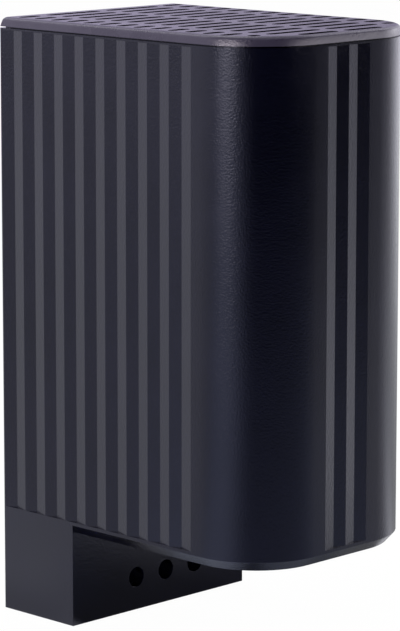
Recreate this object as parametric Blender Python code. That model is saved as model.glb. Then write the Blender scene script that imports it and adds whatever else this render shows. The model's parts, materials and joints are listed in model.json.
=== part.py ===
"""Touch-safe enclosure heater for a 35 mm mounting rail.

A one-piece moulded chimney housing with a terminal compartment at its rear foot carries a finned
heat sink. A ceramic heating package sits in the channel of the heat sink. Air enters through a
grille in the underside and leaves through the slotted lid. A sprung steel clip holds the rail.

The pieces are modelled in the housing's frame: X across, Y towards the rear, Z up from the foot,
with Y zero in the middle of the housing. The empty heater_frame then brings the centre of the rail
seat to the world origin.
"""

import math

import bmesh
import bpy
from mathutils import Vector

# Housing
HOUSING_WIDTH = 0.0397
HOUSING_DEPTH = 0.0579
TOTAL_HEIGHT = 0.098
CORNER_RADIUS = 0.0126
REAR_EDGE_RADIUS = 0.0004
WALL = 0.0022
BODY_BOTTOM = 0.0152
BODY_BEVEL_HEIGHT = 0.0016
BODY_BEVEL_INSET = 0.00145
TERMINAL_DEPTH = 0.0166
TERMINAL_WALL = 0.0018
PARTITION = 0.0015
CORNER_SEGMENTS = 14

# Grooves in the housing walls
GROOVE_PITCH = 0.00475
GROOVE_DEPTH = 0.00044
RIDGE_DROP = 0.00003
SIDE_GROOVE_COUNT = 9
SIDE_GROOVE_START = 0.0006
FRONT_GROOVE_COUNT = 2
GROOVE_BOTTOM = 0.0173
GROOVE_TOP_MARGIN = 0.0003

# Lid
LID_EDGE = 0.0014
LID_CORNER_STEP = 0.0005
LID_LEAN = 16.0
LID_FILLET = 0.0008
LID_FILLET_SEGMENTS = 5
LID_PLATE = 0.0020
SEAM_GAP = 0.00035
SEAM_DEPTH = 0.0009
SPIGOT_HEIGHT = 0.0015
SPIGOT_THICKNESS = 0.0020
SLOT_WIDTH = 0.0016
SLOT_PITCH = 0.003755
SLOT_OUTER_COLUMN = 0.00655
SLOT_RIB = 0.0017
SLOT_EDGE_MARGIN = 0.0010
SLOT_END_MARGIN = 0.0014
SLOT_SHORTEST = 0.0018
FIRST_SLOT_FROM_REAR = 0.0035
SLOT_END_SEGMENTS = 5

# Air inlet grille
INLET_LIP = 0.0008
INLET_SEAT = 0.0009
INLET_PLATE = 0.0018
INLET_SLOT_WIDTH = 0.0022
INLET_SLOT_PITCH = 0.0042
INLET_EDGE_MARGIN = 0.0024
INLET_RIB = 0.0018
INLET_END_SEGMENTS = 4

# Snap hooks and their pockets
HOOK_WIDTH = 0.0060
HOOK_THICKNESS = 0.0012
HOOK_LENGTH = 0.0050
NOSE_DEPTH = 0.0006
NOSE_HEIGHT = 0.0014

# Heat sink and the carriers that hold it
AIR_GAP_FRONT = 0.0057
AIR_GAP_BESIDE = 0.00365
AIR_GAP_BEHIND = 0.0118
AIR_GAP_ABOVE = 0.0120
CHANNEL_WALL = 0.0020
FIN_COUNT = 8
FIN_THICKNESS = 0.0014
CARRIER_THICKNESS = 0.0025
CARRIER_FRAME = 0.0026
CARRIER_BAR = 0.0042
CARRIER_LIP = 0.0014
CARRIER_LIP_HEIGHT = 0.0030
LEDGE_DEPTH = 0.0016
LEDGE_WIDTH = 0.0040
LEDGE_HEIGHT = 0.0020
LEDGE_ABOVE_PARTITION = 0.0056
HOLD_DOWN_WIDTH = 0.0060
HOLD_DOWN_THICKNESS = 0.0014

# Heating package in the channel
PILL_THICKNESS = 0.0021
PILL_DEPTH = 0.0200
PILL_MARGIN = 0.00485
PILL_COUNT = 2
ELECTRODE_THICKNESS = 0.0005
ELECTRODE_PROUD = 0.0010
TAIL_WIDTH = 0.0030
TAIL_LENGTH = 0.0030
SLEEVE_THICKNESS = 0.0004
SLEEVE_PROUD = 0.0012

# Terminals
POLE_PITCH = 0.00683
POLE_COUNT = 3
POLE_SHIFT = 0.0014
SCREW_HEIGHT = 0.0055
ACCESS_HOLE = 0.0034
CAGE_WIDTH = 0.0046
CAGE_DEPTH = 0.0060
CAGE_HEIGHT = 0.0044
CAGE_WALL = 0.0008
CAGE_FROM_FRONT = 0.0031
CHAMBER_CEILING = 0.0042
BLOCK_END_WALL = 0.0014
BLOCK_FLANGE = 0.0015
BLOCK_FOOT = 0.0003
ENTRY_WIDTH = 0.0046
ENTRY_DEPTH = 0.0048
LEAD_HOLE = 0.0028
TERMINAL_HEAD = 0.0030
TERMINAL_HEAD_HEIGHT = 0.0021
TERMINAL_SHANK = 0.0022
TERMINAL_SHANK_LENGTH = 0.0024

# Leads
LEAD_DIAMETER = 0.0018
LEAD_BEND = 0.0034
LEAD_INTO_CAGE = 0.0012

# Earth connection on the heat sink
EARTH_HEIGHT = 0.0060
EARTH_TAG = 0.0062
EARTH_TAG_THICKNESS = 0.0008
EARTH_TAIL_LENGTH = 0.0070
EARTH_TAIL_WIDTH = 0.0030
EARTH_HEAD = 0.0050
EARTH_HEAD_HEIGHT = 0.0018
EARTH_SHANK = 0.0024
EARTH_SHANK_LENGTH = 0.0040

# Rail clip and its screws
RAIL_HEIGHT_ABOVE_FOOT = 0.0550
RAIL_WIDTH = 0.0350
RAIL_THICKNESS = 0.0010
CLIP_WIDTH = 0.0150
CLIP_THICKNESS = 0.0010
CLIP_STANDOFF = 0.0084
CLIP_BASE_LENGTH = 0.0200
CLIP_LIP = 0.0024
CLIP_LEAD_IN = 0.0022
CLIP_BEND = 0.0009
CLIP_SCREW_INSET = 0.0045
CLIP_HOLE = 0.0032
CLIP_HEAD = 0.0052
CLIP_HEAD_HEIGHT = 0.0018
CLIP_SHANK = 0.0024
CLIP_SHANK_LENGTH = 0.0068
BOSS_DIAMETER = 0.0064
BOSS_LENGTH = 0.0052
GUIDE_RIB = 0.0010
GUIDE_RIB_HEIGHT = 0.0006

# Fits
GAP = 0.0003
SLOT_IN_HEAD_WIDTH = 0.0006
SLOT_IN_HEAD_DEPTH = 0.0007
OVERCUT = 0.0010
ROUND_SEGMENTS = 20

# Places that follow from the sizes above
HALF_WIDTH = HOUSING_WIDTH / 2
REAR = HOUSING_DEPTH / 2
FRONT = -HOUSING_DEPTH / 2
RIM = TOTAL_HEIGHT - LID_EDGE - SEAM_GAP
LID_CORNER_RADIUS = CORNER_RADIUS - LID_CORNER_STEP
SLOT_COLUMN_PITCH = HALF_WIDTH - SLOT_OUTER_COLUMN
TERMINAL_FRONT = REAR - TERMINAL_DEPTH
SEAT_TOP = BODY_BOTTOM + INLET_PLATE + GAP
PARTITION_TOP = SEAT_TOP + PARTITION
INLET_REBATE = BODY_BEVEL_INSET + INLET_LIP
THROAT_INSET = INLET_REBATE + INLET_SEAT
THROAT_REAR = TERMINAL_FRONT - THROAT_INSET + INLET_REBATE
LEDGE_TOP = PARTITION_TOP + LEDGE_ABOVE_PARTITION
LOWER_CARRIER = LEDGE_TOP + GAP
SINK_BOTTOM = LOWER_CARRIER + CARRIER_THICKNESS + GAP
SINK_TOP = TOTAL_HEIGHT - AIR_GAP_ABOVE
SINK_FRONT = FRONT + WALL + AIR_GAP_FRONT
HEAT_SINK_WIDTH = HOUSING_WIDTH - 2 * (WALL + AIR_GAP_BESIDE)
HEAT_SINK_DEPTH = REAR - WALL - AIR_GAP_BEHIND - SINK_FRONT
SINK_Y = SINK_FRONT + HEAT_SINK_DEPTH / 2
UPPER_CARRIER = SINK_TOP + GAP
EARTH_TAG_Y = SINK_FRONT + HEAT_SINK_DEPTH + GAP + EARTH_TAG_THICKNESS / 2
PILL_STACK = SINK_TOP - SINK_BOTTOM - 2 * PILL_MARGIN
PILL_HEIGHT = (PILL_STACK - (PILL_COUNT - 1) * GAP) / PILL_COUNT
ELECTRODE_DEPTH = PILL_DEPTH + 2 * ELECTRODE_PROUD
ELECTRODE_X = PILL_THICKNESS / 2 + GAP + ELECTRODE_THICKNESS / 2
SLEEVE_INSIDE_X = ELECTRODE_X + ELECTRODE_THICKNESS / 2 + GAP
SLEEVE_INSIDE_Y = ELECTRODE_DEPTH / 2 + GAP
CHANNEL_X = SLEEVE_INSIDE_X + SLEEVE_THICKNESS + GAP
CHANNEL_Y = SLEEVE_INSIDE_Y + SLEEVE_THICKNESS + GAP
BLOCK_X = CHANNEL_X + CHANNEL_WALL
BAR_OFFSET = HEAT_SINK_DEPTH / 2 - CARRIER_BAR / 2
TAIL_BOTTOM = SINK_BOTTOM - TAIL_LENGTH
LEAD_LEVEL = TAIL_BOTTOM - GAP - LEAD_BEND
TERMINAL_INSIDE = TERMINAL_FRONT + TERMINAL_WALL
BLOCK_FRONT = TERMINAL_INSIDE + GAP
BLOCK_REAR = REAR - WALL - GAP
CAGE_FRONT = BLOCK_FRONT + CAGE_FROM_FRONT
CAGE_BOTTOM = SCREW_HEIGHT - CAGE_HEIGHT / 2
CAGE_TOP = SCREW_HEIGHT + CAGE_HEIGHT / 2
BLOCK_TOP = CAGE_TOP + GAP + CHAMBER_CEILING
WIRE_Y = CAGE_FRONT + CAGE_DEPTH - CAGE_WALL - GAP - LEAD_DIAMETER / 2
FIRST_POLE_X = POLE_SHIFT - POLE_PITCH * (POLE_COUNT - 1) / 2
CLIP_Z = RAIL_HEIGHT_ABOVE_FOOT
CLIP_SCREW_SPACING = CLIP_BASE_LENGTH - 2 * CLIP_SCREW_INSET


def clear_scene():
    """Start from an empty scene."""
    for old in list(bpy.data.objects):
        bpy.data.objects.remove(old, do_unlink=True)


def make_material(name, color, roughness, metallic=0.0):
    """A Principled material of one plain finish."""
    material = bpy.data.materials.new(name)
    material.use_nodes = True
    shader = material.node_tree.nodes["Principled BSDF"]
    shader.inputs["Base Color"].default_value = (*color, 1.0)
    shader.inputs["Roughness"].default_value = roughness
    shader.inputs["Metallic"].default_value = metallic
    return material


def add_piece(name, bm, material, frame, smooth_angle=None):
    """Turn a bmesh into a named object under the frame empty."""
    bmesh.ops.remove_doubles(bm, verts=bm.verts, dist=1e-7)
    bmesh.ops.recalc_face_normals(bm, faces=bm.faces)
    mesh = bpy.data.meshes.new(name)
    bm.to_mesh(mesh)
    bm.free()
    if smooth_angle is not None:
        mesh.shade_smooth()
        mesh.set_sharp_from_angle(angle=math.radians(smooth_angle))
    piece = bpy.data.objects.new(name, mesh)
    if material is not None:
        mesh.materials.append(material)
    bpy.context.collection.objects.link(piece)
    piece.parent = frame
    return piece


def add_boolean(piece, name, bm, frame, operation="DIFFERENCE"):
    """Cut a shape from a piece, or join one to it, with a live Boolean modifier."""
    tool = add_piece(name, bm, None, frame)
    tool.hide_render = True
    tool.display_type = "WIRE"
    modifier = piece.modifiers.new(name, "BOOLEAN")
    modifier.object = tool
    modifier.operation = operation
    modifier.solver = "EXACT"
    return modifier


def rounded_outline(left, right, front, rear, front_radius, rear_radius):
    """Outline seen from above, with the same number of points whatever its size."""
    corners = (
        (left + front_radius, front + front_radius, front_radius, math.pi),
        (right - front_radius, front + front_radius, front_radius, 1.5 * math.pi),
        (right - rear_radius, rear - rear_radius, rear_radius, 0.0),
        (left + rear_radius, rear - rear_radius, rear_radius, 0.5 * math.pi),
    )
    points = []
    for centre_x, centre_y, radius, start in corners:
        for step in range(CORNER_SEGMENTS + 1):
            angle = start + 0.5 * math.pi * step / CORNER_SEGMENTS
            points.append((centre_x + radius * math.cos(angle), centre_y + radius * math.sin(angle)))
    return points


def case_outline(inset, rear=REAR, corner_radius=CORNER_RADIUS):
    """The housing's outline moved inwards, ending at a chosen rear edge."""
    return rounded_outline(
        inset - HALF_WIDTH,
        HALF_WIDTH - inset,
        FRONT + inset,
        rear,
        max(corner_radius - inset, GAP),
        REAR_EDGE_RADIUS,
    )


def loft(bm, rings):
    """Closed solid through rings of points, each given as an outline and its height."""
    layers = [[bm.verts.new((x, y, z)) for x, y in outline] for outline, z in rings]
    count = len(layers[0])
    for lower, upper in zip(layers, layers[1:]):
        for index in range(count):
            after = (index + 1) % count
            bm.faces.new((lower[index], lower[after], upper[after], upper[index]))
    bm.faces.new(list(reversed(layers[0])))
    bm.faces.new(layers[-1])


def add_prism(bm, outline, start, end, axis="Z"):
    """Closed prism: an outline in the plane across an axis, pushed from start to end along it.

    The outline is in (X, Y) along Z, in (Y, Z) along X and in (X, Z) along Y.
    """
    def place(point, along):
        first, second = point
        if axis == "Z":
            return (first, second, along)
        if axis == "X":
            return (along, first, second)
        return (first, along, second)

    lower = [bm.verts.new(place(point, start)) for point in outline]
    upper = [bm.verts.new(place(point, end)) for point in outline]
    count = len(outline)
    for index in range(count):
        after = (index + 1) % count
        bm.faces.new((lower[index], lower[after], upper[after], upper[index]))
    bm.faces.new(list(reversed(lower)))
    bm.faces.new(upper)


def add_box(bm, low, high):
    """Closed box between two corners."""
    outline = [(low[0], low[1]), (high[0], low[1]), (high[0], high[1]), (low[0], high[1])]
    add_prism(bm, outline, low[2], high[2])


def circle(centre_a, centre_b, diameter, segments=ROUND_SEGMENTS):
    """Points of a circle in any of the three planes."""
    points = []
    for step in range(segments):
        angle = 2 * math.pi * step / segments
        offset = (math.cos(angle) * diameter / 2, math.sin(angle) * diameter / 2)
        points.append((centre_a + offset[0], centre_b + offset[1]))
    return points


def slot_outline(left, right, centre_y, width, segments):
    """A straight slot along X with round ends."""
    radius = width / 2
    points = []
    for centre_x, start in ((right - radius, -0.5 * math.pi), (left + radius, 0.5 * math.pi)):
        for step in range(segments + 1):
            angle = start + math.pi * step / segments
            points.append((centre_x + radius * math.cos(angle), centre_y + radius * math.sin(angle)))
    return points


def boxes(*corner_pairs):
    """One bmesh that holds several separate boxes."""
    bm = bmesh.new()
    for low, high in corner_pairs:
        add_box(bm, low, high)
    return bm


def cylinder_y(bm, centre_x, centre_z, diameter, start, end):
    """Cylinder along Y."""
    add_prism(bm, circle(centre_x, centre_z, diameter), start, end, axis="Y")


def zigzag(start, count, surface, outwards):
    """Comb outline that leaves V-shaped grooves, as (along, across) pairs.

    The teeth dip into the wall from its surface, and the comb's back lies outside the wall.
    """
    ridge = surface - outwards * RIDGE_DROP
    valley = surface - outwards * GROOVE_DEPTH
    points = [(start, ridge)]
    for index in range(count):
        middle = start + (index + 0.5) * GROOVE_PITCH
        points.append((middle, valley))
        points.append((start + (index + 1) * GROOVE_PITCH, ridge))
    back = surface + outwards * OVERCUT
    points.append((start + count * GROOVE_PITCH, back))
    points.append((start, back))
    return points


def housing_block():
    """Outside of the housing as one closed solid, with the terminal compartment below its rear.

    The body's lower edge is bevelled as far as the front face of the terminal compartment.
    """
    front_count = 2 * (CORNER_SEGMENTS + 1)
    bm = bmesh.new()

    def front_chain(inset, z):
        arc = case_outline(inset)[:front_count]
        x = HALF_WIDTH - inset
        points = [(-x, TERMINAL_FRONT)] + arc + [(x, TERMINAL_FRONT)]
        return [bm.verts.new((px, py, z)) for px, py in points]

    chains = [
        front_chain(BODY_BEVEL_INSET, BODY_BOTTOM),
        front_chain(0.0, BODY_BOTTOM + BODY_BEVEL_HEIGHT),
        front_chain(0.0, RIM),
    ]
    for lower, upper in zip(chains, chains[1:]):
        for index in range(len(lower) - 1):
            bm.faces.new((lower[index], lower[index + 1], upper[index + 1], upper[index]))

    rear_points = case_outline(0.0)[front_count:]
    rear_top = [bm.verts.new((x, y, RIM)) for x, y in rear_points]
    rear_foot = [bm.verts.new((x, y, 0.0)) for x, y in rear_points]
    foot_right = bm.verts.new((HALF_WIDTH, TERMINAL_FRONT, 0.0))
    foot_left = bm.verts.new((-HALF_WIDTH, TERMINAL_FRONT, 0.0))
    for index in range(len(rear_points) - 1):
        bm.faces.new((rear_foot[index], rear_foot[index + 1], rear_top[index + 1], rear_top[index]))
    edge_top, rim = chains[-2], chains[-1]
    bm.faces.new((foot_right, rear_foot[0], rear_top[0], rim[-1], edge_top[-1]))
    bm.faces.new((rear_foot[-1], foot_left, edge_top[0], rim[0], rear_top[-1]))
    bm.faces.new(rim + rear_top)
    bm.faces.new(list(reversed(chains[0])))
    bm.faces.new(list(reversed([foot_right] + rear_foot + [foot_left])))
    left_profile = [chain[0] for chain in chains[:-1]]
    right_profile = [chain[-1] for chain in chains[:-1]]
    bm.faces.new([foot_left, foot_right] + list(reversed(right_profile)) + left_profile)
    return bm


def hook_sites():
    """Places of the lid's snap hooks along Y, on both side walls."""
    return (FRONT + CORNER_RADIUS + HOOK_WIDTH, REAR - WALL - HOOK_WIDTH)


def inlet_hook_sites():
    """Places of the inlet grille's snap hooks along Y, on both side walls."""
    return (FRONT + CORNER_RADIUS + HOOK_WIDTH, TERMINAL_FRONT - WALL - HOOK_WIDTH)


def build_housing(frame, material):
    """Moulded housing: chimney walls, terminal compartment, ledges, bosses and grooves."""
    housing = add_piece("housing", housing_block(), material, frame, smooth_angle=25)

    chimney = bmesh.new()
    rebate = case_outline(INLET_REBATE, rear=THROAT_REAR)
    throat = case_outline(THROAT_INSET, rear=THROAT_REAR - THROAT_INSET + INLET_REBATE)
    cavity = case_outline(WALL, rear=REAR - WALL)
    lid_seat = case_outline(SEAM_DEPTH, rear=REAR - SEAM_DEPTH)
    spigot_floor = RIM - SPIGOT_HEIGHT
    loft(chimney, [
        (rebate, BODY_BOTTOM - OVERCUT),
        (rebate, SEAT_TOP),
        (throat, SEAT_TOP),
        (throat, PARTITION_TOP),
        (cavity, PARTITION_TOP),
        (cavity, spigot_floor),
        (lid_seat, spigot_floor),
        (lid_seat, RIM + OVERCUT),
    ])
    add_boolean(housing, "cut_chimney", chimney, frame)

    inside_x = HALF_WIDTH - WALL
    compartment = boxes((
        (-inside_x, TERMINAL_INSIDE, -OVERCUT),
        (inside_x, REAR - WALL, PARTITION_TOP - PARTITION),
    ))
    add_boolean(housing, "cut_terminal_compartment", compartment, frame)

    ledges = bmesh.new()
    for side in (-1, 1):
        for y in (SINK_Y - BAR_OFFSET, SINK_Y + BAR_OFFSET):
            low_x, high_x = sorted((side * (inside_x - LEDGE_DEPTH), side * (inside_x + WALL / 3)))
            add_box(
                ledges,
                (low_x, y - LEDGE_WIDTH / 2, LEDGE_TOP - LEDGE_HEIGHT),
                (high_x, y + LEDGE_WIDTH / 2, LEDGE_TOP),
            )
    for offset in (-CLIP_SCREW_SPACING / 2, CLIP_SCREW_SPACING / 2):
        inner_end = REAR - WALL - BOSS_LENGTH
        cylinder_y(ledges, 0.0, CLIP_Z + offset, BOSS_DIAMETER, inner_end, REAR - WALL / 2)
    for side in (-1, 1):
        low_x, high_x = sorted((
            side * (CLIP_WIDTH / 2 + GAP),
            side * (CLIP_WIDTH / 2 + GAP + GUIDE_RIB),
        ))
        add_box(
            ledges,
            (low_x, REAR - WALL / 2, CLIP_Z - CLIP_BASE_LENGTH / 2),
            (high_x, REAR + GUIDE_RIB_HEIGHT, CLIP_Z + CLIP_BASE_LENGTH / 2),
        )
    add_boolean(housing, "join_ledges_and_bosses", ledges, frame, operation="UNION")

    holes = bmesh.new()
    for index in range(POLE_COUNT):
        x = FIRST_POLE_X + index * POLE_PITCH
        near, far = TERMINAL_FRONT - OVERCUT, TERMINAL_INSIDE + OVERCUT
        cylinder_y(holes, x, SCREW_HEIGHT, ACCESS_HOLE, near, far)
    for offset in (-CLIP_SCREW_SPACING / 2, CLIP_SCREW_SPACING / 2):
        tip = REAR + 2 * GAP + CLIP_THICKNESS - CLIP_SHANK_LENGTH
        cylinder_y(holes, 0.0, CLIP_Z + offset, CLIP_SHANK + 2 * GAP, tip - GAP, REAR + OVERCUT)
    add_boolean(housing, "cut_round_holes", holes, frame)

    passage_half = POLE_PITCH * (POLE_COUNT - 1) / 2 + LEAD_HOLE / 2
    passage = boxes((
        (POLE_SHIFT - passage_half, WIRE_Y - LEAD_HOLE / 2, SEAT_TOP - OVERCUT),
        (POLE_SHIFT + passage_half, WIRE_Y + LEAD_HOLE / 2, PARTITION_TOP + OVERCUT),
    ))
    add_boolean(housing, "cut_lead_passage", passage, frame)

    pockets = bmesh.new()
    nose_low = RIM - SPIGOT_HEIGHT - HOOK_LENGTH
    pocket_depth = NOSE_DEPTH + GAP
    for side in (-1, 1):
        for y in hook_sites():
            low_x, high_x = sorted((side * (inside_x - GAP), side * (inside_x - GAP + pocket_depth)))
            add_box(
                pockets,
                (low_x, y - HOOK_WIDTH / 2 - GAP, nose_low - GAP),
                (high_x, y + HOOK_WIDTH / 2 + GAP, nose_low + NOSE_HEIGHT + GAP),
            )
        for y in inlet_hook_sites():
            low_x, high_x = sorted((side * (inside_x - GAP), side * (inside_x - GAP + pocket_depth)))
            nose_top = SEAT_TOP + HOOK_LENGTH
            add_box(
                pockets,
                (low_x, y - HOOK_WIDTH / 2 - GAP, nose_top - NOSE_HEIGHT - GAP),
                (high_x, y + HOOK_WIDTH / 2 + GAP, nose_top + GAP),
            )
        low_x, high_x = sorted((side * (inside_x - GAP), side * (inside_x - GAP + pocket_depth)))
        add_box(
            pockets,
            (low_x, BLOCK_FRONT - GAP, BLOCK_FOOT + BLOCK_FLANGE / 2 - GAP),
            (high_x, BLOCK_REAR + GAP, BLOCK_FOOT + BLOCK_FLANGE + GAP),
        )
    add_boolean(housing, "cut_snap_pockets", pockets, frame)

    groove_top = RIM - GROOVE_TOP_MARGIN
    first_side = REAR - SIDE_GROOVE_START - SIDE_GROOVE_COUNT * GROOVE_PITCH
    first_front = -FRONT_GROOVE_COUNT * GROOVE_PITCH / 2
    grooves = bmesh.new()
    for side in (-1, 1):
        comb = zigzag(first_side, SIDE_GROOVE_COUNT, side * HALF_WIDTH, side)
        teeth = [(across, along) for along, across in comb]
        add_prism(grooves, teeth, GROOVE_BOTTOM, groove_top)
    teeth = zigzag(first_front, FRONT_GROOVE_COUNT, FRONT, -1)
    add_prism(grooves, teeth, GROOVE_BOTTOM, groove_top)
    add_boolean(housing, "cut_grooves", grooves, frame)
    return housing


def column_edges():
    """Left and right ends of the slot columns, before the outline trims them."""
    half_rib = SLOT_RIB / 2
    edge = HALF_WIDTH - SLOT_END_MARGIN
    return (
        (-edge, -SLOT_COLUMN_PITCH - half_rib),
        (-SLOT_COLUMN_PITCH + half_rib, -half_rib),
        (half_rib, SLOT_COLUMN_PITCH - half_rib),
        (SLOT_COLUMN_PITCH + half_rib, edge),
    )


def slot_limit(centre_y, width, margin, corner_radius):
    """How far from the middle a round-ended slot may reach at its place along Y."""
    drop = FRONT + corner_radius - centre_y
    if drop <= 0.0:
        return HALF_WIDTH - margin
    reach = corner_radius - margin - width / 2
    if drop >= reach:
        return 0.0
    return HALF_WIDTH - corner_radius + math.sqrt(reach * reach - drop * drop) + width / 2


def build_top_grille(frame, material):
    """Slotted lid with a leaning, rounded edge, a spigot, snap hooks and two hold-down blades."""
    underside = RIM + SEAM_GAP
    spigot_bottom = RIM - SPIGOT_HEIGHT + GAP
    spigot = case_outline(SEAM_DEPTH + GAP, rear=REAR - SEAM_DEPTH - GAP)
    rings = [(spigot, spigot_bottom), (spigot, underside)]
    rings.append((case_outline(0.0, corner_radius=LID_CORNER_RADIUS), underside))
    lean = math.radians(LID_LEAN)
    fillet_foot = TOTAL_HEIGHT - LID_FILLET * (1 - math.sin(lean))
    foot_inset = (fillet_foot - underside) * math.tan(lean)
    for step in range(LID_FILLET_SEGMENTS + 1):
        angle = lean + (0.5 * math.pi - lean) * step / LID_FILLET_SEGMENTS
        inset = foot_inset + LID_FILLET * (math.cos(lean) - math.cos(angle))
        height = fillet_foot + LID_FILLET * (math.sin(angle) - math.sin(lean))
        ring = case_outline(inset, rear=REAR - inset, corner_radius=LID_CORNER_RADIUS)
        rings.append((ring, height))
    bm = bmesh.new()
    loft(bm, rings)
    lid = add_piece("top_grille", bm, material, frame, smooth_angle=30)

    hollow = bmesh.new()
    inner = SEAM_DEPTH + GAP + SPIGOT_THICKNESS
    plate_underside = TOTAL_HEIGHT - LID_PLATE
    add_prism(hollow, case_outline(inner, rear=REAR - inner), spigot_bottom - OVERCUT, plate_underside)
    add_boolean(lid, "cut_underside", hollow, frame)

    legs = bmesh.new()
    hook_outer = HALF_WIDTH - WALL - GAP
    nose_low = RIM - SPIGOT_HEIGHT - HOOK_LENGTH
    for side in (-1, 1):
        for y in hook_sites():
            profile = [
                (side * hook_outer, plate_underside + LID_PLATE / 2),
                (side * hook_outer, nose_low + NOSE_HEIGHT),
                (side * (hook_outer + NOSE_DEPTH), nose_low + NOSE_HEIGHT),
                (side * (hook_outer + NOSE_DEPTH / 3), nose_low),
                (side * (hook_outer - HOOK_THICKNESS), nose_low),
                (side * (hook_outer - HOOK_THICKNESS), plate_underside + LID_PLATE / 2),
            ]
            add_prism(legs, profile, y - HOOK_WIDTH / 2, y + HOOK_WIDTH / 2, axis="Y")
    blade_bottom = UPPER_CARRIER + CARRIER_THICKNESS + GAP
    for y in (SINK_Y - BAR_OFFSET, SINK_Y + BAR_OFFSET):
        add_box(
            legs,
            (-HOLD_DOWN_THICKNESS / 2, y - HOLD_DOWN_WIDTH / 2, blade_bottom),
            (HOLD_DOWN_THICKNESS / 2, y + HOLD_DOWN_WIDTH / 2, plate_underside + LID_PLATE / 2),
        )
    add_boolean(lid, "join_hooks_and_blades", legs, frame, operation="UNION")

    slots = bmesh.new()
    last_centre = FRONT + SLOT_EDGE_MARGIN + SLOT_WIDTH / 2
    centre_y = REAR - FIRST_SLOT_FROM_REAR
    while centre_y >= last_centre:
        limit = slot_limit(centre_y, SLOT_WIDTH, SLOT_EDGE_MARGIN, LID_CORNER_RADIUS)
        for left, right in column_edges():
            start = max(left, -limit)
            end = min(right, limit)
            if end - start >= SLOT_SHORTEST:
                outline = slot_outline(start, end, centre_y, SLOT_WIDTH, SLOT_END_SEGMENTS)
                add_prism(slots, outline, plate_underside - OVERCUT / 10, TOTAL_HEIGHT + OVERCUT)
        centre_y -= SLOT_PITCH
    add_boolean(lid, "cut_slots", slots, frame)
    return lid


def build_bottom_grille(frame, material):
    """Air inlet grille that snaps into the underside of the housing, ahead of the terminals."""
    inset = INLET_REBATE + GAP
    outline = case_outline(inset, rear=THROAT_REAR - GAP)
    bm = bmesh.new()
    loft(bm, [(outline, BODY_BOTTOM), (outline, BODY_BOTTOM + INLET_PLATE)])
    grille = add_piece("bottom_grille", bm, material, frame, smooth_angle=30)

    slots = bmesh.new()
    limit_margin = INLET_REBATE + GAP + INLET_EDGE_MARGIN
    centre_y = THROAT_REAR - GAP - INLET_EDGE_MARGIN - INLET_SLOT_WIDTH / 2
    while centre_y - INLET_SLOT_WIDTH / 2 >= FRONT + limit_margin:
        limit = slot_limit(centre_y, INLET_SLOT_WIDTH, limit_margin, CORNER_RADIUS)
        for side in (-1, 1):
            start, end = sorted((side * INLET_RIB / 2, side * limit))
            if end - start >= 2 * INLET_SLOT_WIDTH:
                outline = slot_outline(start, end, centre_y, INLET_SLOT_WIDTH, INLET_END_SEGMENTS)
                add_prism(slots, outline, BODY_BOTTOM - OVERCUT, BODY_BOTTOM + INLET_PLATE + OVERCUT)
        centre_y -= INLET_SLOT_PITCH
    add_boolean(grille, "cut_inlet_slots", slots, frame)

    hooks = bmesh.new()
    hook_outer = HALF_WIDTH - THROAT_INSET - GAP
    nose_reach = NOSE_DEPTH + THROAT_INSET - WALL
    nose_top = SEAT_TOP + HOOK_LENGTH
    for side in (-1, 1):
        for y in inlet_hook_sites():
            profile = [
                (side * hook_outer, BODY_BOTTOM + INLET_PLATE / 2),
                (side * hook_outer, nose_top - NOSE_HEIGHT),
                (side * (hook_outer + nose_reach), nose_top - NOSE_HEIGHT),
                (side * (hook_outer + nose_reach / 2), nose_top),
                (side * (hook_outer - HOOK_THICKNESS), nose_top),
                (side * (hook_outer - HOOK_THICKNESS), BODY_BOTTOM + INLET_PLATE / 2),
            ]
            add_prism(hooks, profile, y - HOOK_WIDTH / 2, y + HOOK_WIDTH / 2, axis="Y")
    add_boolean(grille, "join_inlet_hooks", hooks, frame, operation="UNION")
    return grille


def build_heat_sink(frame, material):
    """Extruded profile: a channel block with fins to both sides."""
    pitch = (HEAT_SINK_DEPTH - FIN_THICKNESS) / (FIN_COUNT - 1)
    right_side = []
    for index in range(FIN_COUNT):
        start = SINK_FRONT + index * pitch
        end = start + FIN_THICKNESS
        if index > 0:
            right_side.append((BLOCK_X, start))
        right_side.append((HEAT_SINK_WIDTH / 2, start))
        right_side.append((HEAT_SINK_WIDTH / 2, end))
        if index < FIN_COUNT - 1:
            right_side.append((BLOCK_X, end))
    left_side = [(-x, y) for x, y in reversed(right_side)]
    bm = bmesh.new()
    add_prism(bm, right_side + left_side, SINK_BOTTOM, SINK_TOP)
    sink = add_piece("heat_sink", bm, material, frame)

    channel = boxes((
        (-CHANNEL_X, SINK_Y - CHANNEL_Y, SINK_BOTTOM - OVERCUT),
        (CHANNEL_X, SINK_Y + CHANNEL_Y, SINK_TOP + OVERCUT),
    ))
    add_boolean(sink, "cut_channel", channel, frame)

    tapping = bmesh.new()
    sink_rear = SINK_FRONT + HEAT_SINK_DEPTH
    depth = EARTH_SHANK_LENGTH - EARTH_TAG_THICKNESS - GAP
    height = SINK_BOTTOM + EARTH_HEIGHT
    cylinder_y(tapping, 0.0, height, EARTH_SHANK + 2 * GAP, sink_rear - depth, sink_rear + OVERCUT)
    add_boolean(sink, "cut_earth_tapping", tapping, frame)
    return sink


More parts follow.
